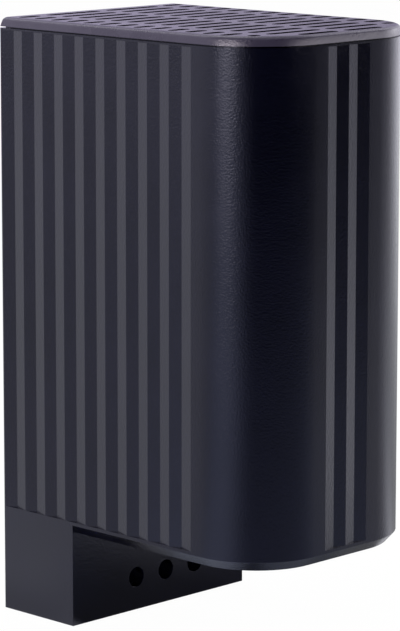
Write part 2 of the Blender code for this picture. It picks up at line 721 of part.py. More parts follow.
def build_heating_package(frame, materials):
    """Ceramic pills between two electrodes, wrapped in an insulating sleeve."""
    pills = []
    for index in range(PILL_COUNT):
        bottom = SINK_BOTTOM + PILL_MARGIN + index * (PILL_HEIGHT + GAP)
        bm = boxes((
            (-PILL_THICKNESS / 2, SINK_Y - PILL_DEPTH / 2, bottom),
            (PILL_THICKNESS / 2, SINK_Y + PILL_DEPTH / 2, bottom + PILL_HEIGHT),
        ))
        pills.append(add_piece(f"ptc_pill_{index + 1}", bm, materials["ceramic"], frame))

    for name, side in (("electrode_left", -1), ("electrode_right", 1)):
        half = ELECTRODE_THICKNESS / 2
        tail_y = SINK_Y + side * (ELECTRODE_DEPTH / 2 - TAIL_WIDTH)
        front = SINK_Y - ELECTRODE_DEPTH / 2
        rear = SINK_Y + ELECTRODE_DEPTH / 2
        profile = [
            (front, SINK_BOTTOM),
            (tail_y - TAIL_WIDTH / 2, SINK_BOTTOM),
            (tail_y - TAIL_WIDTH / 2, TAIL_BOTTOM),
            (tail_y + TAIL_WIDTH / 2, TAIL_BOTTOM),
            (tail_y + TAIL_WIDTH / 2, SINK_BOTTOM),
            (rear, SINK_BOTTOM),
            (rear, SINK_TOP),
            (front, SINK_TOP),
        ]
        bm = bmesh.new()
        x = side * ELECTRODE_X
        add_prism(bm, profile, x - half, x + half, axis="X")
        add_piece(name, bm, materials["brass"], frame)

    outer_x = SLEEVE_INSIDE_X + SLEEVE_THICKNESS
    outer_y = SLEEVE_INSIDE_Y + SLEEVE_THICKNESS
    low = SINK_BOTTOM - SLEEVE_PROUD
    high = SINK_TOP + SLEEVE_PROUD
    bm = boxes(((-outer_x, SINK_Y - outer_y, low), (outer_x, SINK_Y + outer_y, high)))
    sleeve = add_piece("insulating_sleeve", bm, materials["film"], frame)
    bore = boxes((
        (-SLEEVE_INSIDE_X, SINK_Y - SLEEVE_INSIDE_Y, low - OVERCUT),
        (SLEEVE_INSIDE_X, SINK_Y + SLEEVE_INSIDE_Y, high + OVERCUT),
    ))
    add_boolean(sleeve, "cut_sleeve_bore", bore, frame)
    return pills


def build_carrier(name, level, lips_up, frame, material):
    """Open frame across the chimney that locates one end of the heat sink."""
    inset = WALL + GAP
    top = level + CARRIER_THICKNESS
    outline = case_outline(inset, rear=SINK_FRONT + HEAT_SINK_DEPTH + CARRIER_FRAME)
    bm = bmesh.new()
    loft(bm, [(outline, level), (outline, top)])
    carrier = add_piece(name, bm, material, frame, smooth_angle=30)

    windows = bmesh.new()
    inner_x = HALF_WIDTH - inset - CARRIER_FRAME
    bar_inner = BAR_OFFSET - CARRIER_BAR / 2
    low_z = level - OVERCUT
    high_z = top + OVERCUT
    add_box(windows, (-inner_x, SINK_Y - bar_inner, low_z), (inner_x, SINK_Y + bar_inner, high_z))
    front_edge = FRONT + inset + CARRIER_FRAME
    front_bar = SINK_Y - BAR_OFFSET - CARRIER_BAR / 2 - CARRIER_LIP - GAP
    if front_bar - front_edge > CARRIER_FRAME / 2:
        reach = slot_limit(front_edge, 0.0, inset + CARRIER_FRAME / 2, CORNER_RADIUS)
        add_box(windows, (-reach, front_edge, low_z), (reach, front_bar, high_z))
    add_boolean(carrier, "cut_windows_" + name, windows, frame)

    lips = bmesh.new()
    inside = CARRIER_THICKNESS / 2
    if lips_up:
        low_z, high_z = top - inside, top + CARRIER_LIP_HEIGHT
    else:
        low_z, high_z = level - CARRIER_LIP_HEIGHT, level + inside
    end = HEAT_SINK_DEPTH / 2 + GAP
    lip_half = BLOCK_X
    add_box(lips, (-lip_half, SINK_Y - end - CARRIER_LIP, low_z), (lip_half, SINK_Y - end, high_z))
    rear_outer = CARRIER_LIP
    add_box(lips, (-lip_half, SINK_Y + end, low_z), (lip_half, SINK_Y + end + rear_outer, high_z))
    for side in (-1, 1):
        low_x, high_x = sorted((
            side * (HEAT_SINK_WIDTH / 2 + GAP),
            side * (HEAT_SINK_WIDTH / 2 + GAP + CARRIER_LIP),
        ))
        for y in (SINK_Y - BAR_OFFSET, SINK_Y + BAR_OFFSET):
            add_box(lips, (low_x, y - CARRIER_BAR / 2, low_z), (high_x, y + CARRIER_BAR / 2, high_z))
    add_boolean(carrier, "join_lips_" + name, lips, frame, operation="UNION")

    if lips_up:
        relief = bmesh.new()
        sink_rear = SINK_FRONT + HEAT_SINK_DEPTH
        tag_rear = sink_rear + 2 * GAP + EARTH_TAG_THICKNESS + EARTH_HEAD_HEIGHT
        add_box(
            relief,
            (-EARTH_TAG / 2 - GAP, EARTH_TAG_Y - LEAD_DIAMETER / 2 - GAP, level - OVERCUT),
            (EARTH_TAG / 2 + GAP, max(tag_rear, sink_rear + CARRIER_FRAME) + GAP, high_z + OVERCUT),
        )
        add_boolean(carrier, "cut_earth_relief", relief, frame)
    return carrier


def build_earth_connection(frame, materials):
    """Ring tongue and screw at the rear foot of the heat sink."""
    rear = SINK_FRONT + HEAT_SINK_DEPTH + GAP
    height = SINK_BOTTOM + EARTH_HEIGHT
    outline = []
    half = EARTH_TAIL_WIDTH / 2
    start = math.acos(half / (EARTH_TAG / 2))
    arc_from = -math.pi / 2 + (math.pi / 2 - start)
    arc_to = 1.5 * math.pi - (math.pi / 2 - start)
    for step in range(ROUND_SEGMENTS + 1):
        angle = arc_from + (arc_to - arc_from) * step / ROUND_SEGMENTS
        outline.append((math.cos(angle) * EARTH_TAG / 2, height + math.sin(angle) * EARTH_TAG / 2))
    outline.append((-half, height - EARTH_TAIL_LENGTH))
    outline.append((half, height - EARTH_TAIL_LENGTH))
    bm = bmesh.new()
    add_prism(bm, outline, rear, rear + EARTH_TAG_THICKNESS, axis="Y")
    tag = add_piece("earth_tag", bm, materials["brass"], frame)
    hole = bmesh.new()
    tag_back = rear + EARTH_TAG_THICKNESS
    cylinder_y(hole, 0.0, height, EARTH_SHANK + 2 * GAP, rear - OVERCUT, tag_back + OVERCUT)
    add_boolean(tag, "cut_tag_hole", hole, frame)

    head_start = rear + EARTH_TAG_THICKNESS + GAP
    build_screw(
        "earth_screw", (0.0, head_start, height), 1, EARTH_HEAD, EARTH_HEAD_HEIGHT,
        EARTH_SHANK, EARTH_SHANK_LENGTH, frame, materials["steel"],
    )


def build_screw(name, seat, towards, head, head_height, shank, shank_length, frame, material):
    """Slotted cheese-head screw along Y; seat is the middle of the face under its head."""
    x, y, z = seat
    tip = shank / 4
    profile = [
        (0.0, -shank_length),
        (shank / 2 - tip / 2, -shank_length),
        (shank / 2, tip - shank_length),
        (shank / 2, 0.0),
        (head / 2, 0.0),
        (head / 2, head_height * 0.8),
        (head / 2 - head_height * 0.2, head_height),
        (0.0, head_height),
    ]
    bm = bmesh.new()
    rings = []
    for radius, along in profile:
        place_y = y + towards * along
        if radius == 0.0:
            rings.append([bm.verts.new((x, place_y, z))])
            continue
        ring = []
        for step in range(ROUND_SEGMENTS):
            angle = 2 * math.pi * step / ROUND_SEGMENTS
            ring.append(bm.verts.new((x + radius * math.cos(angle), place_y, z + radius * math.sin(angle))))
        rings.append(ring)
    for lower, upper in zip(rings, rings[1:]):
        for step in range(ROUND_SEGMENTS):
            after = (step + 1) % ROUND_SEGMENTS
            corners = [lower[step % len(lower)], lower[after % len(lower)]]
            corners += [upper[after % len(upper)], upper[step % len(upper)]]
            bm.faces.new(list(dict.fromkeys(corners)))
    screw = add_piece(name, bm, material, frame, smooth_angle=35)
    top = y + towards * head_height
    low_y, high_y = sorted((top - towards * SLOT_IN_HEAD_DEPTH, top + towards * OVERCUT))
    slot = boxes((
        (x - head, low_y, z - SLOT_IN_HEAD_WIDTH / 2),
        (x + head, high_y, z + SLOT_IN_HEAD_WIDTH / 2),
    ))
    add_boolean(screw, "cut_slot_" + name, slot, frame)
    return screw


def build_terminals(frame, materials):
    """Terminal block with chambers, a clamp cage and a screw for each pole."""
    pole_x = [FIRST_POLE_X + index * POLE_PITCH for index in range(POLE_COUNT)]
    chamber_half = CAGE_WIDTH / 2 + GAP
    body_left = pole_x[0] - chamber_half - BLOCK_END_WALL
    body_right = pole_x[-1] + chamber_half + BLOCK_END_WALL
    flange_x = HALF_WIDTH - WALL - GAP
    flange_top = BLOCK_FOOT + BLOCK_FLANGE
    nose_z = BLOCK_FOOT + BLOCK_FLANGE / 2
    profile = [
        (-flange_x, BLOCK_FOOT),
        (flange_x, BLOCK_FOOT),
        (flange_x, nose_z),
        (flange_x + NOSE_DEPTH, nose_z + GAP),
        (flange_x + NOSE_DEPTH, flange_top),
        (body_right, flange_top),
        (body_right, BLOCK_TOP),
        (body_left, BLOCK_TOP),
        (body_left, flange_top),
        (-flange_x - NOSE_DEPTH, flange_top),
        (-flange_x - NOSE_DEPTH, nose_z + GAP),
        (-flange_x, nose_z),
    ]
    bm = bmesh.new()
    add_prism(bm, profile, BLOCK_FRONT, BLOCK_REAR, axis="Y")
    block = add_piece("terminal_block", bm, materials["block"], frame)

    chambers = bmesh.new()
    entries = bmesh.new()
    bores = bmesh.new()
    lead_holes = bmesh.new()
    entry_y = CAGE_FRONT + CAGE_DEPTH / 2
    for x in pole_x:
        add_box(
            chambers,
            (x - chamber_half, CAGE_FRONT - GAP, CAGE_BOTTOM - GAP),
            (x + chamber_half, BLOCK_REAR + OVERCUT, CAGE_TOP + GAP),
        )
        add_box(
            entries,
            (x - ENTRY_WIDTH / 2, entry_y - ENTRY_DEPTH / 2, BLOCK_FOOT - OVERCUT),
            (x + ENTRY_WIDTH / 2, entry_y + ENTRY_DEPTH / 2, CAGE_BOTTOM),
        )
        bore = TERMINAL_HEAD + 2 * GAP
        cylinder_y(bores, x, SCREW_HEIGHT, bore, BLOCK_FRONT - OVERCUT, CAGE_FRONT)
        add_prism(lead_holes, circle(x, WIRE_Y, LEAD_HOLE), CAGE_TOP, BLOCK_TOP + OVERCUT)
    add_boolean(block, "cut_chambers", chambers, frame)
    add_boolean(block, "cut_wire_entries", entries, frame)
    add_boolean(block, "cut_screw_bores", bores, frame)
    add_boolean(block, "cut_lead_holes", lead_holes, frame)

    for index, x in enumerate(pole_x, start=1):
        name = f"clamp_cage_{index}"
        bm = boxes((
            (x - CAGE_WIDTH / 2, CAGE_FRONT, CAGE_BOTTOM),
            (x + CAGE_WIDTH / 2, CAGE_FRONT + CAGE_DEPTH, CAGE_TOP),
        ))
        cage = add_piece(name, bm, materials["plated"], frame)
        way = boxes((
            (x - CAGE_WIDTH / 2 + CAGE_WALL, CAGE_FRONT + CAGE_WALL, CAGE_BOTTOM - OVERCUT),
            (x + CAGE_WIDTH / 2 - CAGE_WALL, CAGE_FRONT + CAGE_DEPTH - CAGE_WALL, CAGE_TOP + OVERCUT),
        ))
        add_boolean(cage, "cut_wire_way_" + name, way, frame)
        tapping = bmesh.new()
        cylinder_y(
            tapping, x, SCREW_HEIGHT, TERMINAL_SHANK + 2 * GAP,
            CAGE_FRONT - OVERCUT, CAGE_FRONT + CAGE_WALL + OVERCUT,
        )
        add_boolean(cage, "cut_tapping_" + name, tapping, frame)
        build_screw(
            f"terminal_screw_{index}", (x, CAGE_FRONT - GAP, SCREW_HEIGHT), -1,
            TERMINAL_HEAD, TERMINAL_HEAD_HEIGHT, TERMINAL_SHANK, TERMINAL_SHANK_LENGTH,
            frame, materials["steel"],
        )


def smooth_path(corners, bend, steps=6):
    """Points along straight runs that are joined by round bends."""
    points = [corners[0]]
    for before, corner, after in zip(corners, corners[1:], corners[2:]):
        towards_before = (before - corner).normalized()
        towards_after = (after - corner).normalized()
        limit = min((before - corner).length, (after - corner).length) * 0.49
        reach = min(bend, limit)
        start = corner + towards_before * reach
        end = corner + towards_after * reach
        for step in range(steps + 1):
            t = step / steps
            point = start * (1 - t) ** 2 + corner * (2 * t * (1 - t)) + end * t ** 2
            points.append(point)
    points.append(corners[-1])
    return points


def build_lead(name, corners, frame, material):
    """Insulated lead along a route of corners, as a tube with filled ends."""
    curve = bpy.data.curves.new(name, "CURVE")
    curve.dimensions = "3D"
    curve.bevel_depth = LEAD_DIAMETER / 2
    curve.bevel_resolution = 2
    curve.render_resolution_u = 0
    curve.use_fill_caps = True
    route = smooth_path([Vector(corner) for corner in corners], LEAD_BEND)
    spline = curve.splines.new("POLY")
    spline.points.add(len(route) - 1)
    for target, place in zip(spline.points, route):
        target.co = (*place, 1.0)
    curve.materials.append(material)
    lead = bpy.data.objects.new(name, curve)
    bpy.context.collection.objects.link(lead)
    lead.parent = frame
    return lead


def build_leads(frame, materials):
    """Leads from the electrodes to the outer cages, and from the earth tag to the middle one."""
    pole_x = [FIRST_POLE_X + index * POLE_PITCH for index in range(POLE_COUNT)]
    end_z = CAGE_TOP - LEAD_INTO_CAGE
    for name, side, x in (("lead_live", -1, pole_x[0]), ("lead_neutral", 1, pole_x[-1])):
        tail_y = SINK_Y + side * (ELECTRODE_DEPTH / 2 - TAIL_WIDTH)
        tail_x = side * ELECTRODE_X
        corners = (
            (tail_x, tail_y, TAIL_BOTTOM - GAP),
            (tail_x, tail_y, LEAD_LEVEL),
            (x, (tail_y + WIRE_Y) / 2, LEAD_LEVEL),
            (x, WIRE_Y, LEAD_LEVEL),
            (x, WIRE_Y, end_z),
        )
        build_lead(name, corners, frame, materials["lead"])
    tag_z = SINK_BOTTOM + EARTH_HEIGHT - EARTH_TAIL_LENGTH - GAP
    corners = (
        (0.0, EARTH_TAG_Y, tag_z),
        (0.0, EARTH_TAG_Y, LEAD_LEVEL),
        (pole_x[POLE_COUNT // 2], WIRE_Y, LEAD_LEVEL),
        (pole_x[POLE_COUNT // 2], WIRE_Y, end_z),
    )
    build_lead("lead_earth", corners, frame, materials["earth_lead"])


def strip_outline(path, thickness, bend, steps=4):
    """Outline of a bent strip from its centre line, with round bends."""
    route = smooth_path([Vector((a, b, 0.0)) for a, b in path], bend, steps)
    left = []
    right = []
    for index, point in enumerate(route):
        before = route[max(index - 1, 0)]
        after = route[min(index + 1, len(route) - 1)]
        along = (after - before).normalized()
        across = Vector((-along.y, along.x, 0.0)) * thickness / 2
        left.append((point.x + across.x, point.y + across.y))
        right.append((point.x - across.x, point.y - across.y))
    return left + list(reversed(right))


def build_rail_clip(frame, material):
    """Sprung steel clip: a base on the rear wall, two legs, two rail seats and two hooks."""
    half = CLIP_THICKNESS / 2
    base = REAR + GAP + half
    seat = REAR + CLIP_STANDOFF - half
    lip = REAR + CLIP_STANDOFF + RAIL_THICKNESS + 2 * GAP + half
    legs_z = CLIP_BASE_LENGTH / 2 - half
    hook_z = RAIL_WIDTH / 2 + GAP + half
    upper_path = [
        (base, CLIP_Z),
        (base, CLIP_Z + legs_z),
        (seat, CLIP_Z + legs_z),
        (seat, CLIP_Z + hook_z),
        (lip, CLIP_Z + hook_z),
        (lip, CLIP_Z + hook_z - CLIP_LIP),
        (lip + CLIP_LEAD_IN / 3, CLIP_Z + hook_z - CLIP_LIP - CLIP_LEAD_IN / 2),
    ]
    lower_path = [(y, 2 * CLIP_Z - z) for y, z in reversed(upper_path[1:])]
    outline = strip_outline(lower_path + upper_path[1:], CLIP_THICKNESS, CLIP_BEND)
    bm = bmesh.new()
    add_prism(bm, outline, -CLIP_WIDTH / 2, CLIP_WIDTH / 2, axis="X")
    clip = add_piece("rail_clip", bm, material, frame, smooth_angle=30)
    holes = bmesh.new()
    for offset in (-CLIP_SCREW_SPACING / 2, CLIP_SCREW_SPACING / 2):
        cylinder_y(holes, 0.0, CLIP_Z + offset, CLIP_HOLE, REAR - OVERCUT, REAR + CLIP_THICKNESS + OVERCUT)
    add_boolean(clip, "cut_clip_holes", holes, frame)
    return clip


def build_clip_screws(frame, material):
    """Two screws that hold the clip to the bosses in the rear wall."""
    seat_y = REAR + 2 * GAP + CLIP_THICKNESS
    for name, offset in (("clip_screw_lower", -1), ("clip_screw_upper", 1)):
        build_screw(
            name, (0.0, seat_y, CLIP_Z + offset * CLIP_SCREW_SPACING / 2), 1,
            CLIP_HEAD, CLIP_HEAD_HEIGHT, CLIP_SHANK, CLIP_SHANK_LENGTH, frame, material,
        )


def main():
    clear_scene()
    frame = bpy.data.objects.new("heater_frame", None)
    frame.location = (0.0, -REAR - CLIP_STANDOFF, -CLIP_Z)
    bpy.context.collection.objects.link(frame)

    black = make_material("black_moulding", (0.012, 0.013, 0.018), 0.42)
    dark = make_material("carrier_moulding", (0.05, 0.05, 0.055), 0.6)
    aluminium = make_material("extruded_aluminium", (0.78, 0.79, 0.80), 0.35, 1.0)
    steel = make_material("zinc_plated_steel", (0.70, 0.71, 0.72), 0.32, 1.0)
    spring = make_material("spring_steel", (0.55, 0.56, 0.58), 0.35, 1.0)
    inner = {
        "ceramic": make_material("dark_ceramic", (0.12, 0.11, 0.10), 0.7),
        "brass": make_material("brass_strip", (0.80, 0.63, 0.32), 0.3, 1.0),
        "film": make_material("amber_film", (0.55, 0.24, 0.05), 0.35),
        "block": make_material("terminal_moulding", (0.03, 0.03, 0.035), 0.5),
        "plated": make_material("nickel_plated_brass", (0.74, 0.72, 0.66), 0.28, 1.0),
        "steel": steel,
        "lead": make_material("brown_silicone", (0.16, 0.06, 0.03), 0.55),
        "earth_lead": make_material("green_silicone", (0.05, 0.22, 0.06), 0.55),
    }

    build_housing(frame, black)
    build_top_grille(frame, black)
    build_bottom_grille(frame, black)
    build_heat_sink(frame, aluminium)
    build_heating_package(frame, inner)
    build_carrier("lower_carrier", LOWER_CARRIER, True, frame, dark)
    build_carrier("upper_carrier", UPPER_CARRIER, False, frame, dark)
    build_earth_connection(frame, inner)
    build_terminals(frame, inner)
    build_leads(frame, inner)
    build_rail_clip(frame, spring)
    build_clip_screws(frame, steel)


main()
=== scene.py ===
"""Looks of the touch-safe enclosure heater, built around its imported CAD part."""

import json
import math

import bmesh
import bpy
from mathutils import Euler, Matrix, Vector


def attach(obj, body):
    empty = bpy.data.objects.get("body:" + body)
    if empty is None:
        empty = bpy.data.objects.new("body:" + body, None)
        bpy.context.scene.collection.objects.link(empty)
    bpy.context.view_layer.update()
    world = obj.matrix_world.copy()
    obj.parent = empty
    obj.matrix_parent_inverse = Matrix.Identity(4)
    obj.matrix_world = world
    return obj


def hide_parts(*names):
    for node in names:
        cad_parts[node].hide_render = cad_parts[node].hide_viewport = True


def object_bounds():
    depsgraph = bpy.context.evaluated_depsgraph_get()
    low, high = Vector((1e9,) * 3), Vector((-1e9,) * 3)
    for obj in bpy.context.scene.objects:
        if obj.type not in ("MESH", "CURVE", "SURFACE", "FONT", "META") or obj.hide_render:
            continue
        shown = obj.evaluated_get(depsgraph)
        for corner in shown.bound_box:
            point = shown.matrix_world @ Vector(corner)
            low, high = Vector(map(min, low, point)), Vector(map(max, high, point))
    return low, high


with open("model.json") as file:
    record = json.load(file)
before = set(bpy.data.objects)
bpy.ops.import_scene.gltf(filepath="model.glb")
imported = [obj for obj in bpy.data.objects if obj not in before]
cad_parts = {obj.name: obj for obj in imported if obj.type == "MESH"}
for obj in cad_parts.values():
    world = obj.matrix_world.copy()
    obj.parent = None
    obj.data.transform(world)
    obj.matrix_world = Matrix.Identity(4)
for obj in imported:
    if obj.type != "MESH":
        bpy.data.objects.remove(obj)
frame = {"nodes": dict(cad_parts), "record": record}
cad_box = [list(corner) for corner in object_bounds()]
nodes = frame["nodes"]
scene = bpy.context.scene

MM = 0.001
WHITE = (1.0, 1.0, 1.0)
FLOOR_LEVEL = cad_box[0][2]
TOP_LEVEL = cad_box[1][2]

# Camera, at the photograph's place
CAMERA_PLACE = (-0.3584, -0.3857, 0.0857)
CAMERA_YAW = -45.32
CAMERA_PITCH = 8.88
CAMERA_LENS = 179.4
CAMERA_SENSOR = 36.0
CAMERA_SHIFT = (0.0211, -0.1201)
CAMERA_CLIP_START = 0.01

# Size, depth and detail of the mouldings' grain: spark-eroded outside, smoother inside
SPARK_GRAIN = (0.30 * MM, 0.044 * MM, 2.5)
SOFT_GRAIN = (0.30 * MM, 0.006 * MM, 2.0)
GRAIN_ROUGHNESS = 0.6

# Mottling of the mouldings: its noise, where the two tones lie in it, and how far the gloss wanders
MOTTLE_SCALE = 90.0
MOTTLE_DETAIL = 4.0
MOTTLE_ROUGHNESS = 0.65
MOTTLE_STOPS = (0.35, 0.65)
MOTTLE_GLOSS = 0.03
PLASTIC_IOR = 1.5

# Lines and patches of the metals
LINE_DETAIL = 3.0
LINE_DEPTH = 0.02 * MM
LINE_STRENGTH = 0.25
PATCH_SCALE = 160.0
PATCH_DETAIL = 3.0
PATCH_STOPS = (0.3, 0.7)
PATCH_SHADE = 0.86
PATCH_GLOSS = 0.06

# Part of a noise's range over which the gloss changes
NOISE_SPAN = (0.3, 0.7)

# Painted shade on a slot's wall: it goes from dark to its full tone as it leans more, from the first slope
# to the second
WALL_SLOPE = (0.12, 0.25)
WALL_SHADE_TONE = 0.03

MOULDINGS = {
    "black_moulding": dict(
        dark=(0.0002, 0.0002, 0.0024), light=(0.0004, 0.0004, 0.0038), roughness=0.17,
        grain=SPARK_GRAIN, sheen_tint=(0.80, 0.80, 1.0)),
    "grille_moulding": dict(
        dark=(0.016, 0.0130, 0.028), light=(0.024, 0.0205, 0.038), roughness=0.28,
        grain=SPARK_GRAIN, sheen_tint=(0.92, 0.87, 1.0), painted_wall_shade=True),
    "carrier_moulding": dict(
        dark=(0.030, 0.030, 0.031), light=(0.042, 0.042, 0.044), roughness=0.6, specular=0.4),
    "terminal_moulding": dict(
        dark=(0.0024, 0.0026, 0.0150), light=(0.0036, 0.0038, 0.0205), roughness=0.4,
        sheen_tint=(0.84, 0.84, 1.0)),
    "lead_insulation": dict(
        dark=(0.14, 0.045, 0.020), light=(0.20, 0.065, 0.030), roughness=0.55, specular=0.4),
    "earth_insulation": dict(
        dark=(0.035, 0.17, 0.045), light=(0.05, 0.22, 0.06), roughness=0.55, specular=0.4),
    "ceramic": dict(
        dark=(0.030, 0.027, 0.025), light=(0.05, 0.045, 0.04), roughness=0.7, specular=0.4),
    "film": dict(
        dark=(0.33, 0.12, 0.012), light=(0.42, 0.16, 0.018), roughness=0.25),
}

METALS = {
    "extruded_aluminium": dict(
        color=(0.78, 0.79, 0.80), roughness=0.38, line_size=0.25 * MM, stretch=(1.0, 1.0, 0.05)),
    "spring_steel": dict(
        color=(0.56, 0.57, 0.59), roughness=0.34, line_size=0.3 * MM, stretch=(1.0, 0.06, 1.0)),
    "plated_steel": dict(
        color=(0.66, 0.67, 0.68), roughness=0.3, line_size=0.3 * MM),
    "brass_strip": dict(
        color=(0.80, 0.60, 0.27), roughness=0.3, line_size=0.25 * MM, stretch=(1.0, 1.0, 0.06)),
    "plated_cage": dict(
        color=(0.70, 0.67, 0.60), roughness=0.3, line_size=0.3 * MM),
}

# Nodes that look other than their slot's material
OWN_FINISH = {"top_grille": "grille_moulding"}

# Rounding of each node's edges, as moulded, punched or sawn
EDGE_ROUNDING = {
    "housing": 0.50 * MM,
    "top_grille": 0.03 * MM,
    "bottom_grille": 0.18 * MM,
    "terminal_block": 0.12 * MM,
    "rail_clip": 0.10 * MM,
}
OTHER_ROUNDING = 0.08 * MM
ROUNDING_SEGMENTS = 2
WELD = 0.0005 * MM
FLAT = math.radians(0.5)
SHARP_ANGLE = math.radians(40.0)
GROOVE_ANGLE = math.radians(12.0)
UPRIGHT = 0.999

# Share of the rounding that each kind of edge gets, and the levels that tell the kinds apart
HOUSING_SHARES = {"plain": 0.32, "groove": 0.16, "groove_end": 0.08, "seam": 0.14, "lower_edge": 1.0}
OTHER_SHARES = {"plain": 1.0, "seam": 0.5}
GROOVE_END = FLOOR_LEVEL + 17.3 * MM
LOWER_EDGE = FLOOR_LEVEL + 16.8 * MM
LEVEL_REACH = 0.02 * MM

# The seam under the lid, which the lid's lower edge and a step inside it narrow
LID_UNDERSIDE = TOP_LEVEL - 1.4 * MM
HOUSING_RIM = LID_UNDERSIDE - 0.35 * MM
SEAM_CLOSING = 0.10 * MM
STEP_OUTSIDE = 0.75 * MM
STEP_INSIDE = 1.18 * MM
STEP_CLEARANCE = 0.02 * MM

# The lid in plan
lid_places = [vert.co for vert in nodes["top_grille"].data.vertices]
LID_HALF_WIDTH = max(place.x for place in lid_places)
LID_FRONT = min(place.y for place in lid_places)
LID_REAR = max(place.y for place in lid_places)
LID_CORNER = 12.1 * MM
CORNER_STEPS = 16

# Floor and room: the floor is white where it is seen, but for the share that keeps the shadow
FLOOR_DROP = 0.2 * MM
FLOOR_RADIUS = 6.0
FLOOR_SEGMENTS = 96
FLOOR_TONE = 0.92
FLOOR_ROUGHNESS = 0.9
FLOOR_WHITE = 0.975
SEEN_STRENGTH = 1.0
ROOM_STRENGTH = 0.55

# Point that the lamps face and the surround stands round
MIDDLE = Vector((0.0, -0.0373, -0.006))

# Lamps: azimuth, elevation, distance, width and height, power and colour
LAMPS = {
    "left_box": (150.0, 27.0, 0.9, (0.6, 0.55), 2.4, WHITE),
    "right_box": (-68.0, 27.0, 0.9, (0.6, 0.55), 2.4, WHITE),
    "top_box": (200.0, 65.0, 0.9, (0.4, 0.4), 1.5, WHITE),
    "corner_strip": (88.0, 8.0, 0.56, (0.20, 0.16), 0.34, (1.0, 0.97, 0.95)),
    "side_strip": (117.0, 8.0, 0.56, (0.14, 0.14), 0.045, WHITE),
    "corner_window": (88.0, 20.0, 0.56, (0.32, 0.12), 1.9, (1.0, 0.96, 0.90)),
    "front_window": (-24.0, 18.5, 0.56, (0.34, 0.10), 0.80, (1.0, 0.96, 0.91)),
    "right_window": (-70.0, 17.0, 0.56, (0.46, 0.10), 0.52, WHITE),
    "rear_spot": (170.0, 45.0, 0.52, (0.14, 0.14), 0.16, WHITE),
    "right_spot": (-82.0, 43.0, 0.52, (0.12, 0.12), 0.08, WHITE),
}

# Glowing tones that the object mirrors, painted light and shade by azimuth: round its foot, beside it, at
# the cards' foot and top
SURROUND = (
    (-180.0, 0.30, 1.0, 1.0, 1.0),
    (-142.0, 0.20, 0.10, 0.95, 0.66),
    (-134.0, 0.16, 0.05, 0.76, 0.52),
    (-127.0, 0.16, 0.05, 0.56, 0.38),
    (-104.0, 0.15, 0.10, 1.6, 1.7),
    (-80.0, 0.16, 0.48, 1.7, 1.8),
    (-68.0, 0.20, 1.75, 0.55, 0.60),
    (-60.0, 0.22, 1.50, 0.80, 0.55),
    (-52.0, 0.26, 0.85, 0.36, 0.12),
    (-42.0, 0.29, 0.72, 0.08, 0.02),
    (-28.0, 0.31, 0.56, 0.02, 0.0),
    (-10.0, 0.40, 0.42, 0.0, 0.0),
    (20.0, 0.48, 0.36, 0.0, 0.0),
    (45.0, 0.90, 0.34, 0.0, 0.0),
    (56.0, 0.90, 0.40, 0.02, 0.0),
    (66.0, 0.84, 0.66, 0.30, 0.22),
    (76.0, 0.76, 0.90, 0.62, 0.60),
    (88.0, 0.68, 0.92, 0.80, 0.95),
    (100.0, 0.66, 0.82, 0.78, 0.95),
    (108.0, 0.80, 0.66, 0.64, 0.68),
    (114.0, 0.85, 0.64, 0.58, 0.58),
    (119.0, 0.85, 0.72, 0.66, 0.66),
    (127.0, 0.85, 0.76, 0.68, 0.72),
    (134.0, 0.75, 0.98, 0.92, 1.3),
    (153.0, 0.75, 0.88, 1.10, 1.5),
    (168.0, 0.75, 0.95, 1.10, 1.6),
    (180.0, 0.30, 1.0, 1.0, 1.2),
)

# The surround's form: the cloth's rings by their distance from the footprint, and the cards' rows
CLOTH_RINGS = (-0.06, -0.0055, -0.004, -0.0015, 0.010, 0.022, 0.06, 0.12, 0.25, 0.58)
CARD_ROWS = (0.06, 0.15, 0.35, 0.75)
CARD_STEPS = 144
HALF_FOOT = ((cad_box[1][0] - cad_box[0][0]) / 2, 0.029)
ROUND_FOOT = 0.012
SMALLEST = 1e-6

# Painted shadow under the object, which begins nearer the footprint's edge towards the rear
UNDER_SHADOW_TONE = 0.12
UNDER_DISTANCE = -0.005
UNDER_REAR_DISTANCE = -0.002
UNDER_REAR_AZIMUTH = 105.0

# Tints of the painted glow: of the cards, the rear cards, the cloth and the cloth within the shaded azimuths
CARD_TINT = (1.0, 0.97, 1.10)
REAR_TINT = (1.0, 0.91, 1.24)
REAR_AZIMUTH = -115.0
CLOTH_TINT = (0.98, 0.99, 1.05)
SHADE_TINT = (0.90, 0.98, 1.19)
SHADE_AZIMUTHS = (-35.0, 108.0)


# Finishes

def node_tree(name):
    """A new material, its node tree and its shader."""
    material = bpy.data.materials.new(name)
    material.use_nodes = True
    tree = material.node_tree
    return material, tree, tree.nodes["Principled BSDF"]


def add_node(tree, kind, **settings):
    """Add a node; settings with a plain name are properties, and inputs come as a dictionary."""
    node = tree.nodes.new(kind)
    for key, value in settings.pop("inputs", {}).items():
        node.inputs[key].default_value = value
    for key, value in settings.items():
        setattr(node, key, value)
    return node


def noise(tree, place, scale, detail, roughness=0.5):
    """Noise over a surface."""
    texture = add_node(tree, "ShaderNodeTexNoise", inputs={
        "Scale": scale, "Detail": detail, "Roughness": roughness})
    tree.links.new(place, texture.inputs["Vector"])
    return texture.outputs["Fac"]


def raise_grain(tree, shader, height, depth, strength=1.0):
    """Bumps of a given depth on the shader's surface."""
    bump = add_node(tree, "ShaderNodeBump", inputs={"Strength": strength, "Distance": depth})
    tree.links.new(height, bump.inputs["Height"])
    tree.links.new(bump.outputs["Normal"], shader.inputs["Normal"])


def two_tones(tree, shader, factor, stops, dark, light):
    """Colour of the surface, from a dark tone to a light one between two stops."""
    ramp = add_node(tree, "ShaderNodeValToRGB")
    for element, stop, color in zip(ramp.color_ramp.elements, stops, (dark, light)):
        element.position = stop
        element.color = (*color, 1.0)
    tree.links.new(factor, ramp.inputs["Fac"])
    tree.links.new(ramp.outputs["Color"], shader.inputs["Base Color"])
    return ramp.outputs["Color"]


